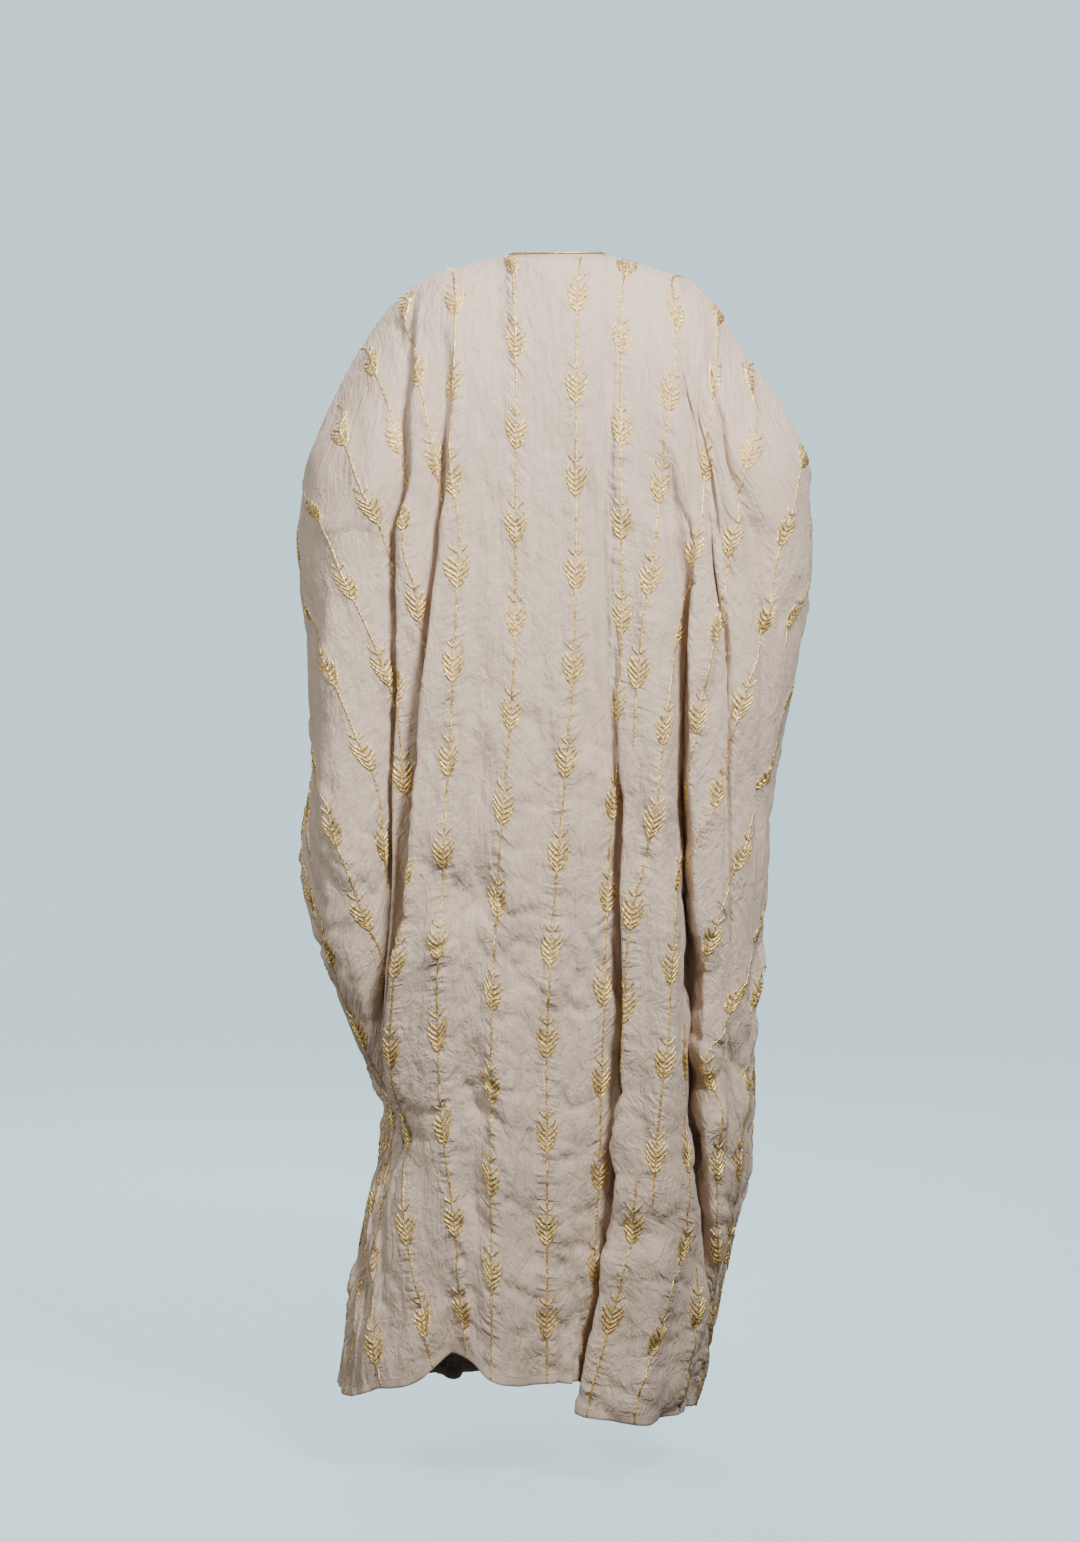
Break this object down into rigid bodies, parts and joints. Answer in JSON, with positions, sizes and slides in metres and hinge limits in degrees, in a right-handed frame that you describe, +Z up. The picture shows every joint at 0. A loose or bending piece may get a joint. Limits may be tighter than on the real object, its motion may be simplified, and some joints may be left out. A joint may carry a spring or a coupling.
{
  "type": "abaya",
  "caption": "Open-fronted full-length robe with wide sleeves cut in one with the body, in the hollow shape it has when worn with the forearms held forward.",
  "frame": {"origin": "middle of the neck opening, where the wearer's neck and shoulders hold the garment up", "axes": "+Z up along the body, +X towards the garment's left sleeve, the open front faces -Y and the back faces +Y"},
  "size_m": [0.6576, 0.3897, 1.4421],
  "materials": {
    "cloth": "matt beige linen-like cloth with a fine crinkle and rows of gold thread embroidery",
    "binding": "matt beige binding with a gold thread edge"
  },
  "bodies": {
    "root": {"back": "cloth", "front_left": "cloth", "front_right": "cloth", "neck_band": "binding"}
  },
  "joints": []
}
